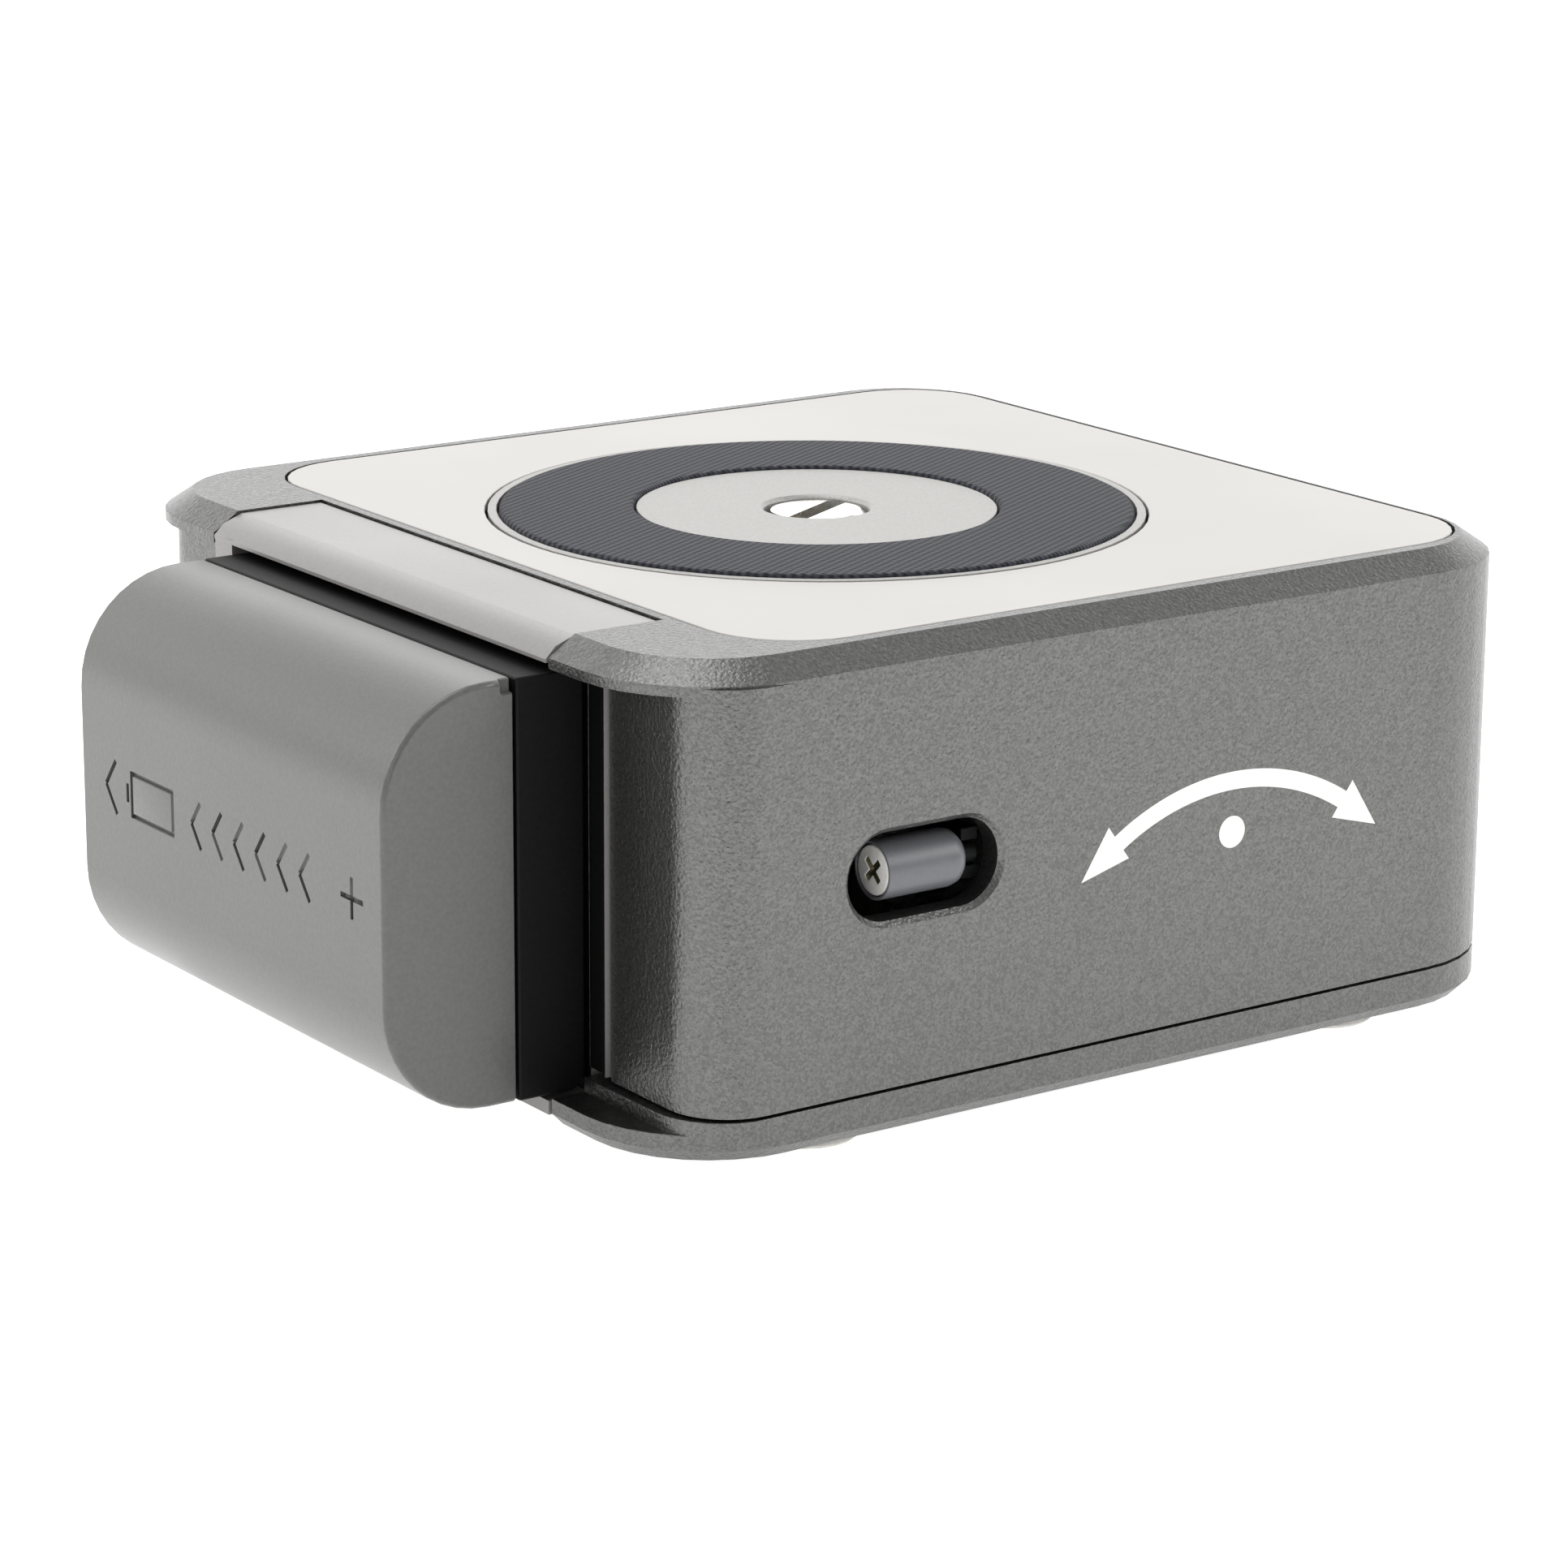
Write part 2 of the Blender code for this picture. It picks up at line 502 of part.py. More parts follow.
def make_roller():
    """Tether roller on a cross-slotted pin, whose head closes the sleeve's end."""
    x0, length = ROLLER_X[0], ROLLER_X[1] - ROLLER_X[0]
    bore, socket = 1.2, PIN_HEAD_R + 0.15
    round_end = [(0, -1.4), (0.2, -0.65), (0.65, -0.15), (1.15, 0)]
    sleeve = turned([(bore, 1.0), (socket, 1.0), (socket, 0), (ROLLER_R, 0)]
                    + [(ROLLER_R - inward, length + z) for inward, z in round_end] + [(bore, length)], MEDIUM)
    place("tether_roller", laid(sleeve, "X", (x0, ROLLER_Y, ROLLER_Z)), PLASTIC)
    pin = turned([(0, 0.05), (PIN_HEAD_R - 0.1, 0.05), (PIN_HEAD_R, 0.15), (PIN_HEAD_R, 0.7), (0.9, 0.7),
                  (0.9, length + 1.9), (0, length + 1.9)], 24)
    obj = place("tether_pin", laid(pin, "X", (x0, ROLLER_Y, ROLLER_Z)), STEEL)
    for turn in (45, -45):
        arm = block(-0.5, 0.5, -1.3, 1.3, -0.3, 0.3)
        bmesh.ops.rotate(arm, cent=(0, 0, 0), matrix=Matrix.Rotation(math.radians(turn), 3, "X"), verts=arm.verts)
        bmesh.ops.translate(arm, vec=(x0, ROLLER_Y, ROLLER_Z), verts=arm.verts)
        combine(obj, arm)
    bracket = place("roller_bracket", block(-17.0, -15.2, -45.9, -41.0, 22.3, 26.9), DARK)
    combine(bracket, laid(rod(bore, 0, 6, 16), "X", (-19.0, ROLLER_Y, ROLLER_Z)))


# ------------------------------------------------------------------ battery pack
def pack_outline(inset, x0, x1):
    """Section of the pack in the x, z plane between two x values; its outer long edges are round."""
    r = PACK_EDGE_R - inset
    left = PACK_X[0] + inset
    low, high = PACK_Z[0] + inset, PACK_Z[1] - inset
    return ([(x1, low), (x1, high), (max(x0, left + r), high)] + arc(left + r, high - r, r, 90, 180, 10)[1:]
            + arc(left + r, low + r, r, 180, 270, 10)) if x0 <= left else [(x0, low), (x1, low), (x1, high), (x0, high)]


def make_pack():
    case_mat = PLASTIC
    split = PACK_SPLIT_X
    outer = pack_outline(0, PACK_X[0], split - 0.1)
    trim = pack_outline(0.35, PACK_X[0], split - 0.1)
    obj = place("battery_case_outer", loft_y([(trim, PACK_Y[0]), (outer, PACK_Y[0] + 0.35),
                                                  (outer, PACK_Y[1] - 0.35), (trim, PACK_Y[1])]), case_mat)
    cavity = pack_outline(PACK_WALL, PACK_X[0], split + 1)
    combine(obj, prism_y(cavity, PACK_Y[0] + PACK_WALL, PACK_Y[1] - 1.8))
    combine(obj, block(split - 1.3, split + 1, PACK_Y[0] - 1, PACK_Y[0] + 0.6, PACK_Z[1] - 1.2, PACK_Z[1] + 1))

    x1 = PACK_X[1]
    inner = [(split + 0.2, PACK_Z[0]), (x1 - 1.2, PACK_Z[0]), (x1, PACK_Z[0] + 1.2), (x1, PACK_Z[1]),
             (split + 0.2, PACK_Z[1])]
    obj = place("battery_case_inner", prism_y(inner, *PACK_Y), DARK)
    combine(obj, block(split - 1, x1 - 0.9, PACK_Y[0] + PACK_WALL, PACK_Y[1] - 1.8,
                       PACK_Z[0] + PACK_WALL, PACK_Z[1] - PACK_WALL))
    combine(obj, block(-48.7, -46.5, PACK_Y[0] + 0.6, PACK_Y[1] - 0.6, GROOVE_Z[0] - 1.2, GROOVE_Z[1] + 1.2), "UNION")
    combine(obj, block(x1 - GROOVE_DEPTH, x1 + 1, CATCH_Y - 2.2, PACK_Y[1] + 2, *GROOVE_Z))
    for z in BLADE_Z:
        combine(obj, block(BLADE_X - 0.9, x1 + 1, PACK_Y[1] - 3, PACK_Y[1] + 1, z - 1.2, z + 1.2))
    for i, z in enumerate(CELL_Z, 1):
        cell = turned([(0, 0), (CELL_R - 0.5, 0), (CELL_R, 0.5), (CELL_R, 46.6), (CELL_R - 0.5, 47.1),
                       (3.2, 47.1), (3.2, 48.3), (0, 48.3)], 36)
        place(f"battery_cell_{i}", laid(cell, "Y", (CELL_X, PACK_Y[0] + 1.6, z)), CELL_MAT)
    place("protection_board", block(-62.0, -50.5, 20.6, 21.6, 9.5, 37.0), BOARD)


def make_bay_parts():
    for i, z in enumerate(BLADE_Z, 1):
        place(f"contact_blade_{i}", block(BLADE_X - 0.35, BLADE_X + 0.35, 22.6, 27.2, z - 0.8, z + 0.8), BRASS)
    catch = turned([(0, 0), (0.9, 0), (1.5, 0.7), (1.5, 4.2), (2.6, 4.2), (2.6, 5.2), (0, 5.2)], 24)
    place("battery_catch", laid(catch, "X", (-46.8, CATCH_Y, 23.2)), DARK)


make_main_housing()
make_bottom_cover()
make_top_panel()
make_bay_insert()
make_base_parts()
make_turntable()
make_bearing()
make_stud()
make_drive()
make_electronics()
make_roller()
make_pack()
make_bay_parts()
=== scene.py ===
# %% [markdown]
# # A motorised pan head, finished for a studio picture
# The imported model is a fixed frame: every piece already has its place and its motion. This lesson gives
# each piece its edges, its surface and its light. It starts by loading the frame and noting its box.

# %% Load the frame
import json
import math

import bpy
from mathutils import Matrix, Vector


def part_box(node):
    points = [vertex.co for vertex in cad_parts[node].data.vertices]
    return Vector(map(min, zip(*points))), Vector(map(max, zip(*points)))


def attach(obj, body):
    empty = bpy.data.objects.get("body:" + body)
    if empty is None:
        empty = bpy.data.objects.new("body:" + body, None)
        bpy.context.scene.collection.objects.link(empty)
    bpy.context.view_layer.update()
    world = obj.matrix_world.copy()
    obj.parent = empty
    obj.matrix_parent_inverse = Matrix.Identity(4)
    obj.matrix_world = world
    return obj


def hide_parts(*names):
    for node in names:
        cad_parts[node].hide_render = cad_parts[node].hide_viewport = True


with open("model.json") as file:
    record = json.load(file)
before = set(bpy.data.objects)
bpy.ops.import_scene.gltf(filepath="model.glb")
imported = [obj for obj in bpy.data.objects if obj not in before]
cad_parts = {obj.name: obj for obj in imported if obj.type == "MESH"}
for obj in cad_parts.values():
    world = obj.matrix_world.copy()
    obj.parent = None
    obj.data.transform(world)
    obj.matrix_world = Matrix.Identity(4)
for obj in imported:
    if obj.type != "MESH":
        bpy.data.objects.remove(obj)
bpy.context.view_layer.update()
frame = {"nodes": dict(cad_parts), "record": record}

MM = 0.001
NODES = frame["nodes"]
BODY_OF = {node: body for body, nodes in frame["record"]["behaviour"]["bodies"].items() for node in nodes}
SLOT_OF = {row["node"]: row["material_slot"] for row in frame["record"]["subparts"]}
PAN = (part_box("turntable_disc")[0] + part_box("turntable_disc")[1]) / 2

# %% [markdown]
# ## The camera
# A long lens, low and to the front left, keeps the box's edges nearly parallel. The head is a small
# object, so the camera stands less than half a metre away.

# %% Camera
camera_data = bpy.data.cameras.new("camera")
camera_data.lens = 114.8
camera_data.sensor_width = 36.0
camera_data.clip_start = 0.01
camera = bpy.data.objects.new("camera", camera_data)
bpy.context.scene.collection.objects.link(camera)
camera.location = (PAN.x - 0.2715, PAN.y - 0.3806, 0.1469)
look_at = Vector((PAN.x - 0.00363, PAN.y, 0.01838))
aim = (look_at - camera.location).to_track_quat("-Z", "Y")
roll = Matrix.Rotation(math.radians(0.343), 3, "Z").to_quaternion()
camera.rotation_euler = (aim @ roll).to_euler()
bpy.context.scene.camera = camera
print("camera distance in mm:", round((camera.location - look_at).length / MM))

# %% [markdown]
# ## Nodes and colours
# Two small tools serve every material and the sky. One turns an sRGB hex value into the linear numbers
# that shaders want. The other adds any node, with its settings and its links, in a single call.


# %% Node and colour tools
def linear(hex_colour):
    """sRGB hex to linear RGB and alpha."""
    parts = [int(hex_colour[i:i + 2], 16) / 255 for i in (1, 3, 5)]
    return (*(c / 12.92 if c <= 0.04045 else ((c + 0.055) / 1.055) ** 2.4 for c in parts), 1.0)


def add_node(tree, kind, settings=None, out=0, **links):
    """Adds a node and returns its output. Settings are its properties, or the stops of a colour ramp; links
    are values, hex colours or other outputs, by the socket's name or, as i0 or i6, by its number."""
    node = tree.nodes.new(kind)
    for name, value in (settings or {}).items():
        if name == "stops":
            marks = node.color_ramp.elements
            while len(marks) < len(value):
                marks.new(0.5)
            for mark, (place, colour) in zip(marks, value):
                mark.position = place
                mark.color = linear(colour) if isinstance(colour, str) else (colour, colour, colour, 1.0)
        else:
            setattr(node, name, value)
    for name, value in links.items():
        socket = node.inputs[int(name[1:])] if name[1:].isdigit() else node.inputs[name.replace("_", " ")]
        if isinstance(value, bpy.types.NodeSocket):
            tree.links.new(value, socket)
        else:
            socket.default_value = linear(value) if isinstance(value, str) else value
    return node.outputs[out] if node.outputs else node


print("mid grey is", round(linear("#808080")[0], 3), "in linear light")

# %% [markdown]
# ## Light
# The picture is high key: the head stands on a glowing white table. Paint seen at a shallow angle mirrors
# the bright wall behind and turns pale, while the upright walls mirror the table and stay grey. The room
# on the camera's side is darker, so the sky is too, and it brightens towards the far side.

# %% Sky
SKY_STRENGTH = 1.9
ZENITH_GREY = (0.36, 0.36, 0.36, 1.0)
bpy.context.scene.view_settings.view_transform = "Standard"
world = bpy.data.worlds.new("studio")
bpy.context.scene.world = world
world.use_nodes = True
sky = world.node_tree
sky.nodes.clear()
away = Vector((look_at.x - camera.location.x, look_at.y - camera.location.y, 0.0)).normalized()
direction = add_node(sky, "ShaderNodeTexCoord", out="Generated")
facing = add_node(sky, "ShaderNodeVectorMath", {"operation": "DOT_PRODUCT"}, out="Value",
                  i0=direction, i1=away)
facing = add_node(sky, "ShaderNodeMath", {"operation": "MULTIPLY_ADD"}, i0=facing, i1=0.5, i2=0.5)
around = add_node(sky, "ShaderNodeValToRGB", {"stops": [(0.0, 0.14), (0.5, 0.30), (0.74, 0.90), (0.90, 1.0)]},
                  i0=facing)
height = add_node(sky, "ShaderNodeSeparateXYZ", out="Z", i0=direction)
dome = add_node(sky, "ShaderNodeMapRange", i0=height, i1=0.42, i2=0.80)
both = add_node(sky, "ShaderNodeMix", {"data_type": "RGBA"}, out=2, i0=dome, i6=around,
                i7=ZENITH_GREY)
background = add_node(sky, "ShaderNodeBackground", Color=both, Strength=SKY_STRENGTH)
add_node(sky, "ShaderNodeOutputWorld", Surface=background)
print("the sky is brightest towards", [round(v, 2) for v in away])


# %% Soft boxes
def soft_box(name, place, size, radiance):
    """A square area light of this brightness, turned towards the head."""
    data = bpy.data.lights.new(name, "AREA")
    data.size = size
    data.energy = radiance * math.pi * size * size
    light = bpy.data.objects.new(name, data)
    bpy.context.scene.collection.objects.link(light)
    light.location = place
    light.rotation_euler = (Vector((PAN.x, 0, 0.02)) - Vector(place)).to_track_quat("-Z", "Y").to_euler()
    print("soft box", name, "at", [round(v, 2) for v in place])


soft_box("overhead_box", (-0.10, 0.16, 0.80), 0.50, 2.9)
soft_box("left_box", (-0.82, -0.47, 0.36), 0.35, 1.8)
soft_box("far_left_box", (-0.70, 0.42, 0.50), 0.50, 3.2)
soft_box("right_box", (0.55, -0.50, 0.42), 0.35, 4.5)

# %% [markdown]
# ## The table
# A flat sheet of white acrylic, lit from below. It leaves almost no shadow, and it throws light up under
# the pack's round edge.

# %% Table
bpy.ops.object.select_all(action="DESELECT")
bpy.ops.mesh.primitive_plane_add(size=6.0, location=(0, 0, 0))
table = bpy.context.active_object
table.name = "light_table"
acrylic = bpy.data.materials.new("opal_acrylic_lit")
acrylic.use_nodes = True
acrylic.node_tree.nodes.clear()
glow = add_node(acrylic.node_tree, "ShaderNodeBsdfPrincipled", Base_Color="#d8d8d8", Roughness=0.6,
                Emission_Color="#ffffff", Emission_Strength=0.90)
add_node(acrylic.node_tree, "ShaderNodeOutputMaterial", Surface=glow)
table.data.materials.append(acrylic)
print("table:", table.name)

# %% [markdown]
# ## Finishes
# Each finish starts from the real material and how its surface was made. Patterns are measured in
# millimetres on Object coordinates, so one function turns a real grain size into a texture scale.


# %% Material helpers
def per_metre(grain_mm):
    """Texture scale that repeats once every grain."""
    return 1.0 / (grain_mm * MM)


def new_material(name):
    """An empty node material; returns it, its tree and its Object coordinates."""
    made = bpy.data.materials.new(name)
    made.use_nodes = True
    made.node_tree.nodes.clear()
    return made, made.node_tree, add_node(made.node_tree, "ShaderNodeTexCoord", out="Object")


def close_material(made, tree, **sockets):
    """Ends a material in one Principled shader with these sockets."""
    add_node(tree, "ShaderNodeOutputMaterial", Surface=add_node(tree, "ShaderNodeBsdfPrincipled", **sockets))
    return made


# %% [markdown]
# Powder coat is sprayed dry and baked: the grains flow into a pebbled skin, about a third of a millimetre
# from pebble to pebble. It is a plastic film, but here it is given the shine of a dark metal, as if it held
# aluminium flake, because the real one mirrors broadly and hardly scatters light.

# %% Powder coat
PEBBLE_MM, SKIN_MM, FLAKE_MM = 0.36, 0.17, 0.2


def powder_coat(name, dark, light, roughness):
    made, tree, where = new_material(name)
    pebble = add_node(tree, "ShaderNodeTexNoise", Vector=where, Scale=per_metre(PEBBLE_MM), Detail=1.5,
                      Roughness=0.5)
    skin = add_node(tree, "ShaderNodeTexNoise", Vector=where, Scale=per_metre(SKIN_MM), Detail=1.0)
    flake = add_node(tree, "ShaderNodeTexVoronoi", out="Color", Vector=where, Scale=per_metre(FLAKE_MM))
    cloud = add_node(tree, "ShaderNodeTexNoise", Vector=where, Scale=per_metre(24.0), Detail=2.0)
    glint = add_node(tree, "ShaderNodeSeparateColor", i0=flake)
    mix = add_node(tree, "ShaderNodeMath", {"operation": "MULTIPLY_ADD"}, i0=glint, i1=0.8, i2=0.0)
    mix = add_node(tree, "ShaderNodeMath", {"operation": "MULTIPLY_ADD"}, i0=cloud, i1=0.2, i2=mix)
    colour = add_node(tree, "ShaderNodeValToRGB", {"stops": [(0.15, dark), (0.85, light)]}, i0=mix)
    gloss = add_node(tree, "ShaderNodeMapRange", i0=skin, i1=0.3, i2=0.7,
                     i3=roughness - 0.06, i4=roughness + 0.08)
    low = add_node(tree, "ShaderNodeBump", Height=skin, Strength=0.6, Distance=0.012 * MM)
    high = add_node(tree, "ShaderNodeBump", Height=pebble, Strength=1.0, Distance=0.085 * MM, Normal=low)
    return close_material(made, tree, Base_Color=colour, Metallic=0.92, Roughness=gloss, Normal=high)


coat = powder_coat("powder_coat_dark_grey", "#60605f", "#717170", 0.34)
print("coat:", coat.name)


# %% [markdown]
# The inlay is a printed aluminium sheet with a smooth satin lacquer, and its grain is barely visible.

# %% Satin lacquer
def satin_lacquer():
    made, tree, where = new_material("satin_lacquer_white")
    grain = add_node(tree, "ShaderNodeTexNoise", Vector=where, Scale=per_metre(0.45), Detail=2.0)
    cloud = add_node(tree, "ShaderNodeTexNoise", Vector=where, Scale=per_metre(30.0), Detail=2.0)
    colour = add_node(tree, "ShaderNodeValToRGB", {"stops": [(0.3, "#b1aeaa"), (0.7, "#b7b4b0")]}, i0=cloud)
    bump = add_node(tree, "ShaderNodeBump", Height=grain, Strength=0.5, Distance=0.01 * MM)
    return close_material(made, tree, Base_Color=colour, Roughness=0.40, IOR=1.5, Normal=bump)


# %% [markdown]
# The turntable is bead-blasted aluminium under a clear anodised film: small dimples spread the light, so
# it looks like a pale grey with a fine salt-and-pepper grain.

# %% Blasted aluminium
def blasted_aluminium():
    made, tree, where = new_material("blasted_aluminium")
    grain = add_node(tree, "ShaderNodeTexNoise", Vector=where, Scale=per_metre(0.26), Detail=2.0,
                     Roughness=0.6)
    colour = add_node(tree, "ShaderNodeValToRGB", {"stops": [(0.3, "#999896"), (0.7, "#b1b0ad")]}, i0=grain)
    gloss = add_node(tree, "ShaderNodeMapRange", i0=grain, i1=0.3, i2=0.7, i3=0.42, i4=0.56)
    bump = add_node(tree, "ShaderNodeBump", Height=grain, Strength=0.7, Distance=0.03 * MM)
    return close_material(made, tree, Base_Color=colour, Metallic=0.5, Roughness=gloss, Normal=bump)


# %% [markdown]
# The grip ring is a twill of coarse synthetic yarn bonded to rubber. Ribs run at a slant, one every
# 0.78 mm, and the crossing yarn cuts each rib into beads. A band wave repeats every 2 pi / 20 of its
# scale, which sets the rib spacing exactly.

# %% Twill
RIB_MM, BEAD_MM = 0.78, 0.55


def twill():
    made, tree, where = new_material("twill_charcoal")
    cloth = 0.0
    for turn, spacing_mm, share in ((62.0, RIB_MM, 1.0), (-22.0, BEAD_MM, 0.55)):
        laid = add_node(tree, "ShaderNodeMapping", Vector=where, Rotation=(0.0, 0.0, math.radians(turn)))
        yarn = add_node(tree, "ShaderNodeTexWave", {"wave_type": "BANDS", "bands_direction": "X"}, out=1,
                        Vector=laid, Scale=per_metre(spacing_mm) * 2 * math.pi / 20, Distortion=0.0)
        cloth = add_node(tree, "ShaderNodeMath", {"operation": "MULTIPLY_ADD"}, i0=yarn, i1=share, i2=cloth)
    fuzz = add_node(tree, "ShaderNodeTexNoise", Vector=where, Scale=per_metre(0.22), Detail=3.0)
    cloth = add_node(tree, "ShaderNodeMath", {"operation": "MULTIPLY_ADD"}, i0=fuzz, i1=0.6, i2=cloth)
    colour = add_node(tree, "ShaderNodeValToRGB", {"stops": [(0.35, "#17181e"), (1.0, "#3c3d48")]},
                      i0=add_node(tree, "ShaderNodeMath", {"operation": "MULTIPLY"}, i0=cloth, i1=0.5))
    bump = add_node(tree, "ShaderNodeBump", Height=cloth, Strength=0.8, Distance=0.12 * MM)
    return close_material(made, tree, Base_Color=colour, Roughness=0.92, IOR=1.45, Sheen_Weight=0.12,
                          Sheen_Roughness=0.5, Normal=bump)


# %% [markdown]
# Moulded plastic comes out of a spark-eroded tool with a matte grain of about 0.1 mm and a soft gloss. That
# is too fine to show here, so it is drawn at 0.4 mm. Handled plastic also shows faint smears, as a slow
# change in gloss.

# %% Moulded plastic
def moulded(name, dark, light, roughness, grain_mm=0.4, depth_mm=0.008):
    made, tree, where = new_material(name)
    grain = add_node(tree, "ShaderNodeTexNoise", Vector=where, Scale=per_metre(grain_mm), Detail=2.0)
    smear = add_node(tree, "ShaderNodeTexNoise", Vector=where, Scale=per_metre(16.0), Detail=1.0)
    colour = add_node(tree, "ShaderNodeValToRGB", {"stops": [(0.3, dark), (0.7, light)]}, i0=grain)
    gloss = add_node(tree, "ShaderNodeMapRange", i0=smear, i1=0.1, i2=0.9,
                     i3=roughness - 0.04, i4=roughness + 0.04)
    bump = add_node(tree, "ShaderNodeBump", Height=grain, Strength=0.7, Distance=depth_mm * MM)
    return close_material(made, tree, Base_Color=colour, Roughness=gloss, IOR=1.53, Normal=bump)


# %% [markdown]
# Metals: nickel-plated steel for studs and screws, drawn brass for gears. Plating leaves a slightly
# cloudy mirror, so its gloss changes a little from place to place.

# %% Metals
def metal(name, dark, light, roughness):
    made, tree, where = new_material(name)
    marks = add_node(tree, "ShaderNodeTexNoise", Vector=where, Scale=per_metre(0.7), Detail=3.0,
                     Roughness=0.7)
    colour = add_node(tree, "ShaderNodeValToRGB", {"stops": [(0.3, dark), (0.7, light)]}, i0=marks)
    gloss = add_node(tree, "ShaderNodeMapRange", i0=marks, i1=0.3, i2=0.7,
                     i3=roughness - 0.04, i4=roughness + 0.06)
    bump = add_node(tree, "ShaderNodeBump", Height=marks, Strength=0.4, Distance=0.004 * MM)
    return close_material(made, tree, Base_Color=colour, Metallic=1.0, Roughness=gloss, Normal=bump)


# %% The finishes, by the record's slots
FINISH = {
    "dark_paint": coat,
    "panel_white": satin_lacquer(),
    "light_metal": blasted_aluminium(),
    "textile": twill(),
    "grey_plastic": moulded("moulded_abs_grey", "#858381", "#8b8987", 0.30),
    "black_plastic": moulded("moulded_abs_black", "#1d1e1e", "#242525", 0.34),
    "bright_steel": metal("nickelled_steel", "#d2cfc8", "#e4e1db", 0.20),
    "brass": metal("drawn_brass", "#b8924a", "#d0ab63", 0.26),
    "pale_rubber": moulded("silicone_rubber_pale", "#bdbbb6", "#c6c4bf", 0.7, 0.3, 0.02),
    "circuit_board": moulded("solder_mask_green", "#14502c", "#1a5c34", 0.35, 0.8, 0.02),
    "cell_sleeve": moulded("shrink_sleeve_blue", "#2c5f92", "#336a9e", 0.28, 1.5, 0.02),
    "lens": moulded("clear_lens", "#dfe3dd", "#e6eae4", 0.12),
}
print("finishes:", ", ".join(sorted(FINISH)))

# %% [markdown]
# Some pieces share a slot with others but have their own mould or coating, so they get their own finish:
# the pack's case is darker than the bay, and the roller's pin has a zinc flake coating, which is whiter and
# duller than nickel. Some get painted light as well: the pack's inner half and the roller bracket are a
# near-black with little shine, which is painted shade, and the pin's head is pushed to near white, partly
# as a painted highlight.

# %% Finishes of single pieces, and their painted light
# Painted shade: a near-black with a low specular level, which hardly mirrors the bright table, for faces that
# sit in shade: the pack's inner half, the roller bracket, and further down the bay's back plate and the pin's
# shank.
BLACK_WITH_PAINTED_SHADE = moulded("black_with_painted_shade", "#0b0b0b", "#0f1010", 0.50, 0.4, 0.006)
for node in BLACK_WITH_PAINTED_SHADE.node_tree.nodes:
    if node.type == "BSDF_PRINCIPLED":
        node.inputs["Specular IOR Level"].default_value = 0.12
OWN_FINISH_AND_PAINTED_LIGHT = {
    "battery_case_outer": moulded("pack_case_charcoal", "#545452", "#5c5c5a", 0.30, 0.4, 0.010),
    "battery_case_inner": BLACK_WITH_PAINTED_SHADE,
    "roller_bracket": BLACK_WITH_PAINTED_SHADE,
    "tether_roller": moulded("acetal_sleeve_grey", "#606165", "#646569", 0.36, 0.4, 0.003),
    # Partly a painted highlight: zinc flake is pale, and the head's colour is pushed to near white for the
    # light it catches.
    "tether_pin": moulded("zinc_flake_pale_painted_highlight", "#f6f4ee", "#fffdf8", 0.45, 0.3, 0.004),
}
print("own finishes:", ", ".join(sorted(OWN_FINISH_AND_PAINTED_LIGHT)))

# %% [markdown]
# ## Refining the frame's pieces
# Real edges are never sharp: a moulded or painted edge has a small round that catches a line of light.
# The frame's meshes are plain triangles, so a merged copy of each gets its flat faces joined, its edges
# beveled, and then stands for the node.


# %% Refine
def finish_piece(obj, body, slot, material=None):
    """Gives a piece its body and its material, by default the finish of its slot."""
    obj.data.materials.clear()
    obj.data.materials.append(material or FINISH[slot])
    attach(obj, body)
    return obj


def alone(obj):
    """Makes this the only selected object."""
    bpy.ops.object.select_all(action="DESELECT")
    obj.select_set(True)
    bpy.context.view_layer.objects.active = obj


def merged_copy(node, name):
    """A copy of a node's mesh with its vertices merged and its flat faces joined."""
    obj = bpy.data.objects.new(name, NODES[node].data.copy())
    bpy.context.scene.collection.objects.link(obj)
    alone(obj)
    bpy.ops.object.mode_set(mode="EDIT")
    bpy.ops.mesh.select_all(action="SELECT")
    bpy.ops.mesh.remove_doubles(threshold=1e-6)
    bpy.ops.mesh.dissolve_limited(angle_limit=math.radians(0.6))
    bpy.ops.object.mode_set(mode="OBJECT")
    return obj


def use_modifier(obj, name, kind, **settings):
    """Adds a modifier with these settings and applies it."""
    made = obj.modifiers.new(name, kind)
    for setting, value in settings.items():
        setattr(made, setting, value)
    alone(obj)
    bpy.ops.object.modifier_apply(modifier=made.name)


def shade(obj, angle=32.0):
    """Smooth shading that leans on the big faces, sharp past the angle."""
    alone(obj)
    bpy.ops.object.shade_smooth_by_angle(angle=math.radians(angle))
    use_modifier(obj, "normals", "WEIGHTED_NORMAL", keep_sharp=True, weight=80)


def refine(node, width_mm):
    """Stands a beveled, smooth copy in for a node."""
    obj = merged_copy(node, node + "_finished")
    use_modifier(obj, "edges", "BEVEL", width=width_mm * MM, segments=3 if width_mm > 0.2 else 1,
                 limit_method="ANGLE", angle_limit=math.radians(32), miter_outer="MITER_ARC")
    shade(obj)
    finish_piece(obj, BODY_OF[node], SLOT_OF[node], OWN_FINISH_AND_PAINTED_LIGHT.get(node))
    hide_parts(node)
    return obj


# %% [markdown]
# The edge radii come from how each piece is made: about 0.3 mm on the cast and painted shells, less on
# sheet and turned metal. The stud isn't in this loop, because it gets a real thread below.

# %% Edge sizes
EDGE_MM = {"main_housing": 0.30, "bottom_cover": 0.28, "battery_bay_insert": 0.25, "top_panel": 0.07,
           "battery_case_inner": 0.25, "battery_case_outer": 0.15, "turntable_disc": 0.08, "grip_ring": 0.1}
refined = {node: refine(node, EDGE_MM.get(node, 0.06)) for node in sorted(NODES) if node != "camera_stud"}
print("refined", len(refined), "pieces")

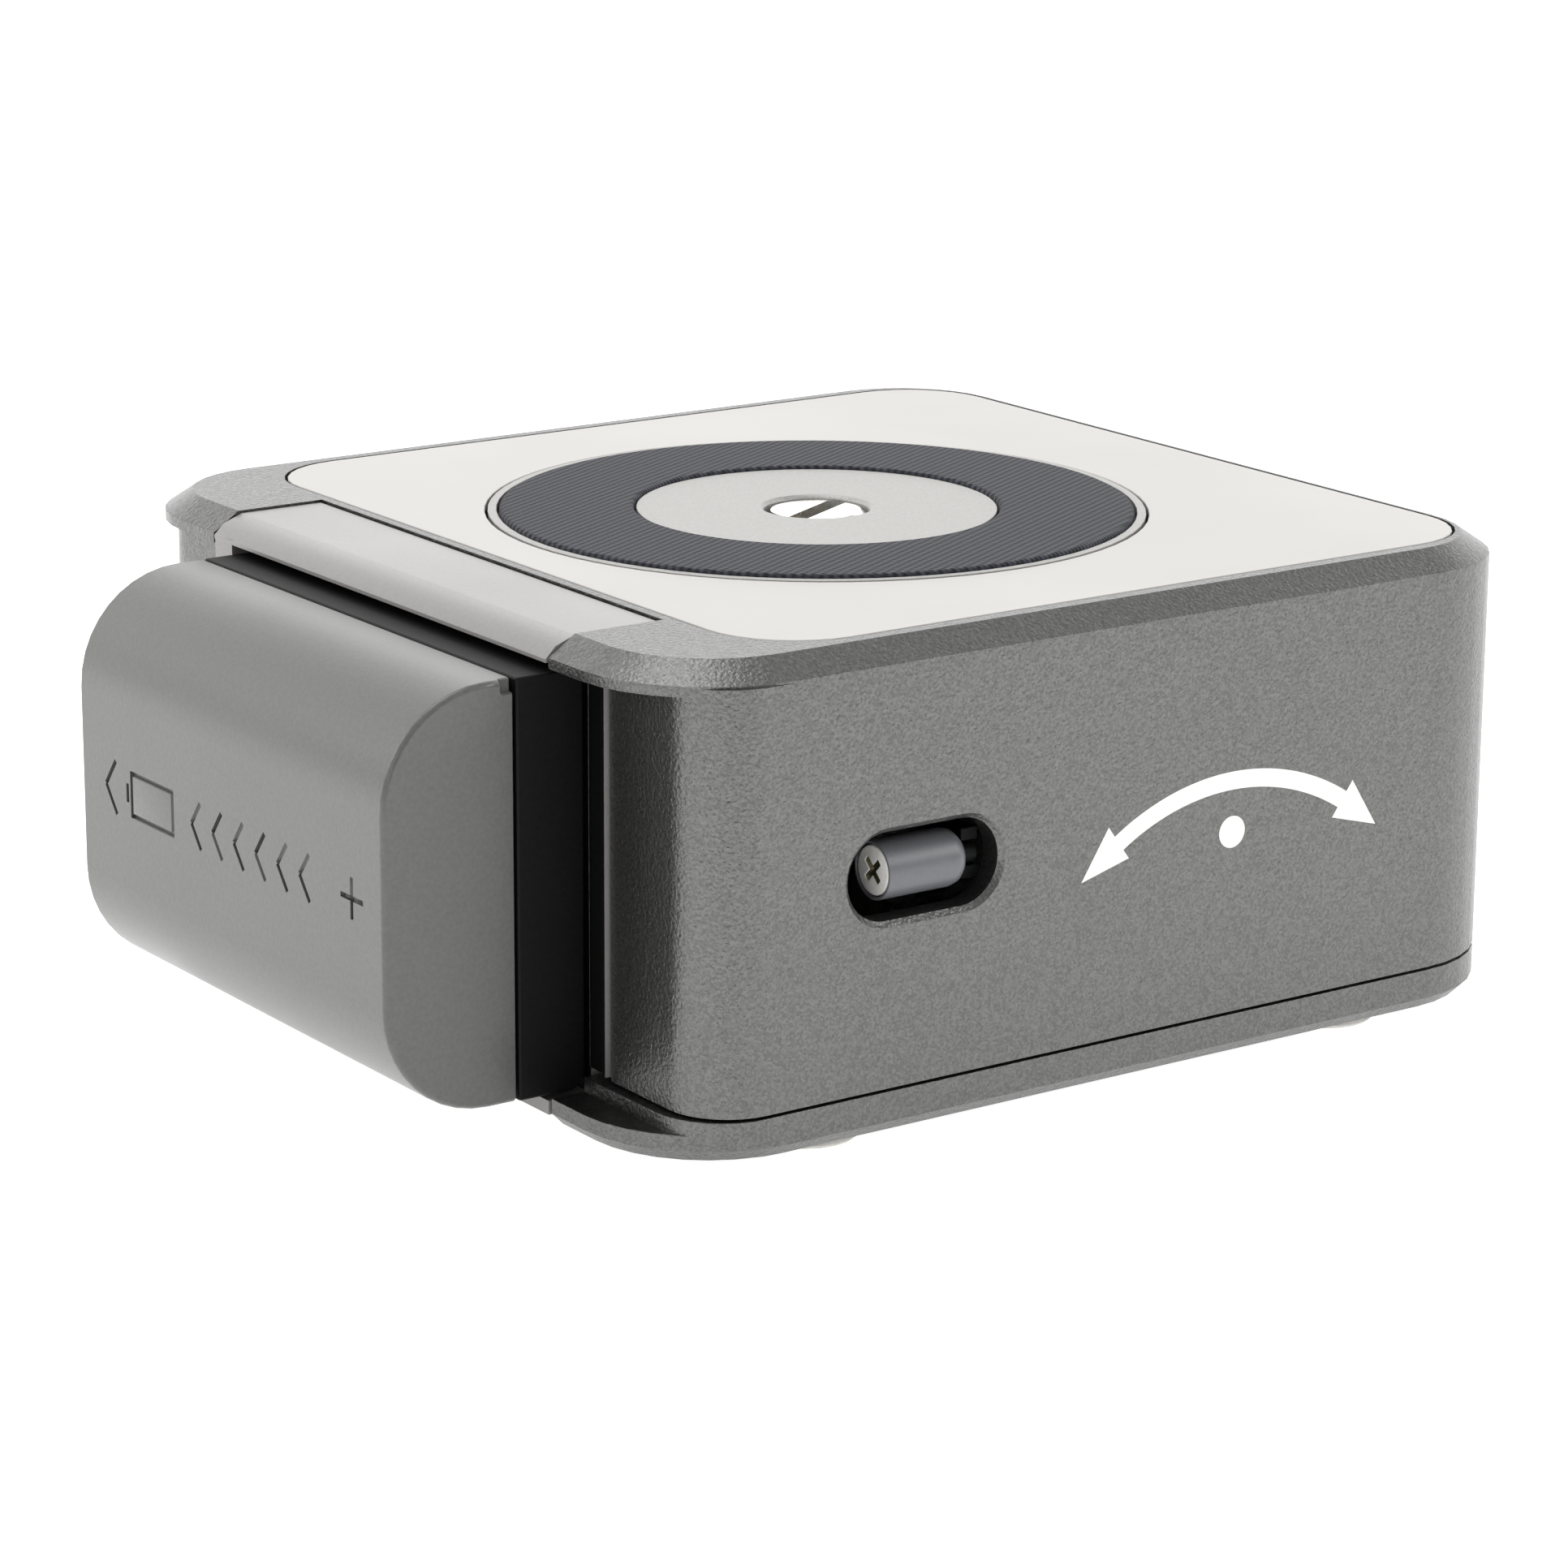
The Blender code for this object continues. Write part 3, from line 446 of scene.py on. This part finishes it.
# %% [markdown]
# Two pieces get painted shade on some faces. The bay's back plate is painted black as shade, with only its
# lips pale. The roller's pin is white on its head; its cross recess is painted a dark olive and its shank
# black, both as painted shade.


# %% Painted shade on faces
def paint_shade_on_faces(obj, material, wanted):
    """Gives the faces that the test wants another material."""
    obj.data.materials.append(material)
    for face in obj.data.polygons:
        if wanted(face):
            face.material_index = len(obj.data.materials) - 1


bay_low, bay_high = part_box("battery_bay_insert")
pin_low, pin_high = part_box("tether_pin")
LIP_MM, TOP_MM = 3.5, 2.5
HEAD_MM, RECESS_MM, RECESS_R = 0.5, 2.2, 1.75 * MM
# Painted shade: the bay's back plate turns black, except for its lips and its top.
paint_shade_on_faces(refined["battery_bay_insert"], BLACK_WITH_PAINTED_SHADE,
              lambda face: face.normal.x < -0.5 and face.center.x > bay_low.x + LIP_MM * MM
              and face.center.z < bay_high.z - TOP_MM * MM)
# Painted shade: the pin's cross recess is a dark olive and its shank black.
paint_shade_on_faces(refined["tether_pin"], metal("cross_recess_painted_shade", "#7c7660", "#8c866e", 0.45),
              lambda face: pin_low.x + 0.1 * MM < face.center.x < pin_low.x + RECESS_MM * MM
              and math.hypot(face.center.y - (pin_low.y + pin_high.y) / 2,
                             face.center.z - (pin_low.z + pin_high.z) / 2) < RECESS_R)
paint_shade_on_faces(refined["tether_pin"], BLACK_WITH_PAINTED_SHADE,
              lambda face: face.center.x > pin_low.x + HEAD_MM * MM and face.material_index == 0)
print("bay depth in mm:", round((bay_high.x - bay_low.x) / MM, 1))

# %% [markdown]
# ## The camera stud
# The frame's stud is a plain rod. The real one has a 3/8 inch thread with 16 turns to the inch, which
# shows when it rises. The thread is a small triangle wound up by a Screw modifier and joined to a core,
# then trimmed by a chamfered blank, and last slotted for a coin. The record calls the plain rod a stand-in.

# %% Stud sizes
STUD_LOW, STUD_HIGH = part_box("camera_stud")
CREST_R = (STUD_HIGH.x - STUD_LOW.x) / 2
PITCH = 25.4 * MM / 16
ROOT_R = CREST_R - 0.42 * PITCH
SHANK_R, SHOULDER_Z = 3.0 * MM, 31.0 * MM
CHAMFER = 0.35 * MM
THREAD_SINK, THREAD_HALF, THREAD_TURNS, THREAD_STEPS = 0.15 * MM, 0.46 * PITCH, 9, 48
SLOT_WIDE, SLOT_DEEP, SLOT_TURN = 1.9 * MM, 1.8 * MM, math.radians(-62)
print("stud pitch in mm:", round(PITCH / MM, 3), "root radius:", round(ROOT_R / MM, 2))


# %% Stud helpers
def cylinder(name, radius, low, high, sides=64):
    """An upright cylinder on the pan axis between two heights, its place in its mesh."""
    bpy.ops.object.select_all(action="DESELECT")
    bpy.ops.mesh.primitive_cylinder_add(vertices=sides, radius=radius, depth=high - low,
                                        location=(PAN.x, PAN.y, (low + high) / 2))
    obj = bpy.context.active_object
    obj.name = name
    bpy.ops.object.transform_apply(location=True, rotation=True, scale=True)
    return obj


def pick(obj, kind, wanted):
    """In edit mode, selects the vertices, edges or faces that the test wants."""
    alone(obj)
    bpy.ops.object.mode_set(mode="EDIT")
    bpy.ops.mesh.select_mode(type=kind)
    bpy.ops.mesh.select_all(action="DESELECT")
    bpy.ops.object.mode_set(mode="OBJECT")
    parts = {"VERT": obj.data.vertices, "EDGE": obj.data.edges, "FACE": obj.data.polygons}[kind]
    for part in parts:
        part.select = wanted(part)
    bpy.ops.object.mode_set(mode="EDIT")


def cut(obj, tool, operation="DIFFERENCE"):
    """An exact Boolean, after which the tool is gone."""
    use_modifier(obj, "cut", "BOOLEAN", operation=operation, solver="EXACT", object=tool, use_self=True)
    bpy.data.objects.remove(tool, do_unlink=True)


# %% Threaded stud
stud = cylinder("camera_stud_threaded", SHANK_R, STUD_LOW.z, SHOULDER_Z)
pick(stud, "FACE", lambda face: face.normal.z > 0.9)
bpy.ops.mesh.inset(thickness=SHANK_R * 0.01)
bpy.ops.transform.resize(value=(ROOT_R / SHANK_R / 0.99, ROOT_R / SHANK_R / 0.99, 1))
bpy.ops.mesh.extrude_region_move(TRANSFORM_OT_translate={"value": (0, 0, STUD_HIGH.z - SHOULDER_Z)})
bpy.ops.object.mode_set(mode="OBJECT")

bpy.ops.object.select_all(action="DESELECT")
bpy.ops.mesh.primitive_circle_add(vertices=3, radius=PITCH, location=(0, 0, 0), fill_type="NOTHING")
thread = bpy.context.active_object
reach = CREST_R + 0.1 * MM - ROOT_R
flank = ((-THREAD_SINK, -THREAD_HALF), (reach, 0), (-THREAD_SINK, THREAD_HALF))
for point, (out, up) in zip(thread.data.vertices, flank):
    point.co = (ROOT_R + out, 0, up)
use_modifier(thread, "wind", "SCREW", axis="Z", steps=THREAD_STEPS, render_steps=THREAD_STEPS,
             screw_offset=PITCH, iterations=THREAD_TURNS, use_merge_vertices=False, use_normal_calculate=True)
alone(thread)
bpy.ops.object.mode_set(mode="EDIT")
bpy.ops.mesh.select_all(action="SELECT")
bpy.ops.mesh.remove_doubles(threshold=1e-7)
bpy.ops.mesh.fill_holes(sides=3)
bpy.ops.mesh.normals_make_consistent(inside=False)
bpy.ops.object.mode_set(mode="OBJECT")
thread.location = (PAN.x, PAN.y, SHOULDER_Z + 0.6 * PITCH)
alone(thread)
bpy.ops.object.transform_apply(location=True, rotation=True, scale=True)
cut(stud, thread, "UNION")
print("threaded:", len(stud.data.polygons), "faces")

# %% Chamfer and coin slot
blank = cylinder("blank", CREST_R, STUD_LOW.z - MM, STUD_HIGH.z)
pick(blank, "FACE", lambda face: face.normal.z > 0.9)
bpy.ops.mesh.bevel(offset=CHAMFER, segments=1)
bpy.ops.object.mode_set(mode="OBJECT")
cut(stud, blank, "INTERSECT")
bpy.ops.object.select_all(action="DESELECT")
bpy.ops.mesh.primitive_cube_add(size=1, location=(PAN.x, PAN.y, STUD_HIGH.z), rotation=(0, 0, SLOT_TURN))
slot_tool = bpy.context.active_object
slot_tool.scale = (SLOT_WIDE, 4 * CREST_R, 2 * SLOT_DEEP)
bpy.ops.object.transform_apply(location=True, rotation=True, scale=True)
cut(stud, slot_tool)
shade(stud, 28)
stud_plating = metal("nickelled_steel_thread", "#dad7d0", "#ece9e3", 0.24)
finish_piece(stud, BODY_OF["camera_stud"], "bright_steel", stud_plating)
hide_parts("camera_stud")
print("stud:", len(stud.data.polygons), "faces")

# %% [markdown]
# ## The print on the front wall
# A white screen print shows what the head does: an arc with an arrow head at each end and a dot below
# it. Ink is a few hundredths of a millimetre thick, so the print is a thin solid that stands that far off
# the wall. The arc is a short edge spun about its centre, and the arrow heads stand a hair prouder than
# it, so that no two faces share a plane.

# %% Print sizes
WALL_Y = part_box("main_housing")[0].y
INK, SINK = 0.02 * MM, 0.05 * MM
PRINT_X, PRINT_Z = PAN.x + 11.9 * MM, 25.6 * MM
PRINT_HALF, PRINT_RISE, STROKE = 12.8 * MM, 3.6 * MM, 1.7 * MM
ARC_R = (PRINT_HALF ** 2 + PRINT_RISE ** 2) / (2 * PRINT_RISE)
ARC_HALF = math.asin(PRINT_HALF / ARC_R)
ARC_Z = PRINT_Z + PRINT_RISE / 2 - ARC_R
HEAD_R, HEAD_STRETCH, DOT_R, DOT_DROP = 2.3 * MM, 1.5, 1.5 * MM, 1.2 * MM
HEAD_ANGLE = ARC_HALF + HEAD_R * HEAD_STRETCH * 0.6 / ARC_R
print("arc radius in mm:", round(ARC_R / MM, 1), "half angle:", round(math.degrees(ARC_HALF), 1))


# %% Print pieces
def on_arc(angle):
    """A point of the arc, by its angle from the top."""
    return PRINT_X + ARC_R * math.sin(angle), WALL_Y, ARC_Z + ARC_R * math.cos(angle)


def flat_shape(corners, radius, place, turn=0.0, stretch=1.0):
    """A filled flat circle, square or triangle on the front wall, turned about +Y."""
    bpy.ops.object.select_all(action="DESELECT")
    bpy.ops.mesh.primitive_circle_add(vertices=corners, radius=radius, fill_type="NGON", location=place,
                                      rotation=(math.radians(90), turn, 0))
    obj = bpy.context.active_object
    obj.scale = (1, stretch, 1)
    bpy.ops.object.transform_apply(location=True, rotation=True, scale=True)
    return obj


emblem = flat_shape(4, STROKE / math.sqrt(2), on_arc(-ARC_HALF), -ARC_HALF + math.radians(45))
emblem.name = "pan_print"
middle = Vector(on_arc(-ARC_HALF))
along = Vector((math.cos(ARC_HALF), 0, math.sin(ARC_HALF)))
pick(emblem, "VERT", lambda vert: (vert.co - middle).dot(along) > 0)
bpy.ops.mesh.spin(steps=40, angle=2 * ARC_HALF, center=(PRINT_X, WALL_Y, ARC_Z), axis=(0, -1, 0))
bpy.ops.object.mode_set(mode="OBJECT")
shapes = [flat_shape(40, DOT_R, (PRINT_X, WALL_Y, PRINT_Z - PRINT_RISE / 2 - DOT_DROP))]
for side in (-1, 1):
    x, y, z = on_arc(side * HEAD_ANGLE)
    turn = side * (HEAD_ANGLE + math.radians(90))
    shapes.append(flat_shape(3, HEAD_R, (x, y - INK / 4, z), turn, HEAD_STRETCH))
alone(emblem)
for shape in shapes:
    shape.select_set(True)
bpy.ops.object.join()
print("print:", len(emblem.data.polygons), "faces")

# %% Ink
pick(emblem, "FACE", lambda face: face.normal.y > 0)
bpy.ops.mesh.flip_normals()
bpy.ops.mesh.select_all(action="SELECT")
bpy.ops.transform.translate(value=(0, -INK, 0))
bpy.ops.object.mode_set(mode="OBJECT")
use_modifier(emblem, "film", "SOLIDIFY", thickness=INK + SINK, offset=-1.0)
ink = moulded("screen_ink_white", "#e9e7e3", "#f1efeb", 0.45, 0.3, 0.004)
finish_piece(emblem, BODY_OF["main_housing"], "panel_white", ink)
print("ink thickness in mm:", round((INK + SINK) / MM, 3))

# %% [markdown]
# ## Marks pressed into the pack
# The mould leaves shallow marks in the pack's outer face: an arrow that shows which way the pack slides,
# the outline of a cell, a run of chevrons, and a plus sign. Each stroke is a thin block, and all of them
# are one cutter.

# %% Mark sizes
case = refined["battery_case_outer"]
FACE_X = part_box("battery_case_outer")[0].x
MARK_Z = 23.6 * MM
STROKE_MM, DEPTH_MM = 0.5, 0.4
strokes = []


def stroke(y_mm, z_mm, long_mm, turn_deg):
    """One straight stroke on the pack's outer face, from the marks' middle line."""
    bpy.ops.object.select_all(action="DESELECT")
    bpy.ops.mesh.primitive_cube_add(size=1, location=(FACE_X, y_mm * MM, MARK_Z + z_mm * MM),
                                    rotation=(math.radians(turn_deg), 0, 0))
    bar = bpy.context.active_object
    bar.scale = (2 * DEPTH_MM * MM, long_mm * MM, STROKE_MM * MM)
    bpy.ops.object.transform_apply(location=True, rotation=True, scale=True)
    strokes.append(bar)


def chevron(y_mm, high_mm):
    """Two strokes that meet in a point towards +Y."""
    long_mm, lean = high_mm * 0.62, 52.0
    for side in (-1, 1):
        stroke(y_mm, side * high_mm * 0.245, long_mm, -side * lean)


# %% Cut the marks
chevron(18.8, 5.2)
for z_mm in (-2.0, 2.0):
    stroke(10.9, z_mm, 8.0, 0)
for y_mm in (7.0, 14.8):
    stroke(y_mm, 0, 4.4, 90)
stroke(15.6, 0, 1.8, 90)
for step in range(6):
    chevron(2.6 - 3.9 * step, 4.4)
for turn in (0, 90):
    stroke(-25.0, 0, 3.8, turn)
alone(strokes[0])
for bar in strokes:
    bar.select_set(True)
bpy.ops.object.join()
print("strokes:", len(strokes))
cut(case, strokes[0])
shade(case)
print("pack case:", len(case.data.polygons), "faces")
